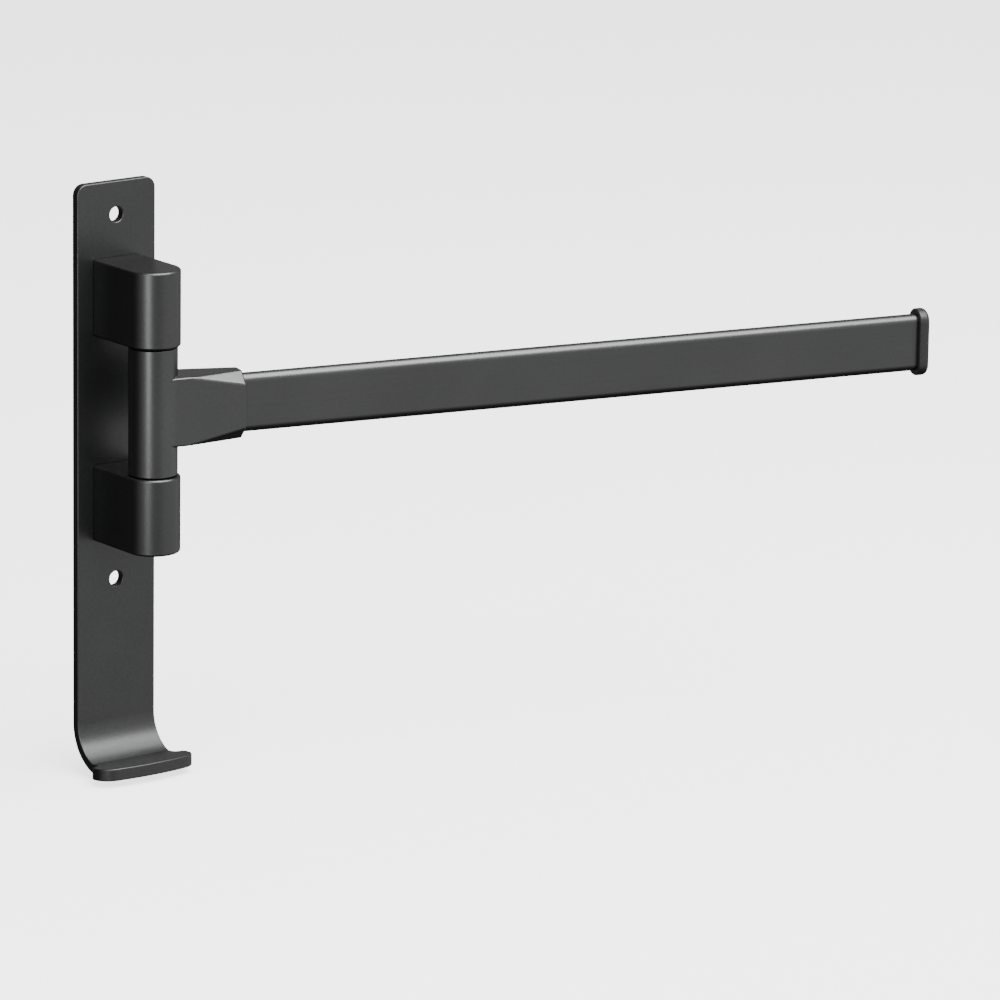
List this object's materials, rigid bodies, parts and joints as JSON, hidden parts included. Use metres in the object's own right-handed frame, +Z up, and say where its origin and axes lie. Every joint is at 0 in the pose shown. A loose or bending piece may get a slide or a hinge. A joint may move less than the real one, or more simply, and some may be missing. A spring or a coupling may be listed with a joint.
{
  "type": "swivel towel rack",
  "caption": "Wall-mounted towel rack: a narrow plate with a hook at its foot and a flat-sided bar that swings on a vertical pivot between lugs.",
  "frame": {"origin": "on the back face of the wall plate, on its centre line, level with the middle of the hinge", "axes": "+Y into the wall, +X along the wall towards the bar's end, +Z up"},
  "size_m": [0.3384, 0.1044, 0.2249],
  "materials": {
    "satin_charcoal_plate": "fine satin charcoal coating on bent aluminium strip",
    "satin_charcoal_lug": "fine satin charcoal coating on machined aluminium",
    "satin_charcoal_socket": "fine satin charcoal coating on cast aluminium",
    "satin_charcoal_bar": "fine satin charcoal coating on drawn aluminium tube",
    "moulded_charcoal_cap": "satin moulded plastic in the colour of the metal",
    "bright_steel": "ground stainless steel",
    "blackened_steel": "blackened steel screws",
    "spring_steel": "spring steel sheet",
    "black_acetal": "black acetal bearing plastic"
  },
  "bodies": {
    "wall_bracket": {"wall_plate": "satin_charcoal_plate", "upper_lug": "satin_charcoal_lug", "lower_lug": "satin_charcoal_lug", "upper_lug_screw_high": "blackened_steel", "upper_lug_screw_low": "blackened_steel", "lower_lug_screw_high": "blackened_steel", "lower_lug_screw_low": "blackened_steel", "pivot_pin": "bright_steel", "pin_plug": "blackened_steel", "thrust_washer": "bright_steel", "wave_washer": "spring_steel"},
    "swing_arm": {"swivel_socket": "satin_charcoal_socket", "upper_bush": "black_acetal", "lower_bush": "black_acetal", "bar_tube": "satin_charcoal_bar", "bar_set_screw_inner": "blackened_steel", "bar_set_screw_outer": "blackened_steel", "end_cap": "moulded_charcoal_cap"}
  },
  "joints": [
    {"name": "arm_swing", "type": "hinge", "parent": "wall_bracket", "child": "swing_arm", "pos_m": [0, -0.0277, 0], "axis": [0, 0, -1], "range_deg": [-12.8, 167.2]}
  ]
}
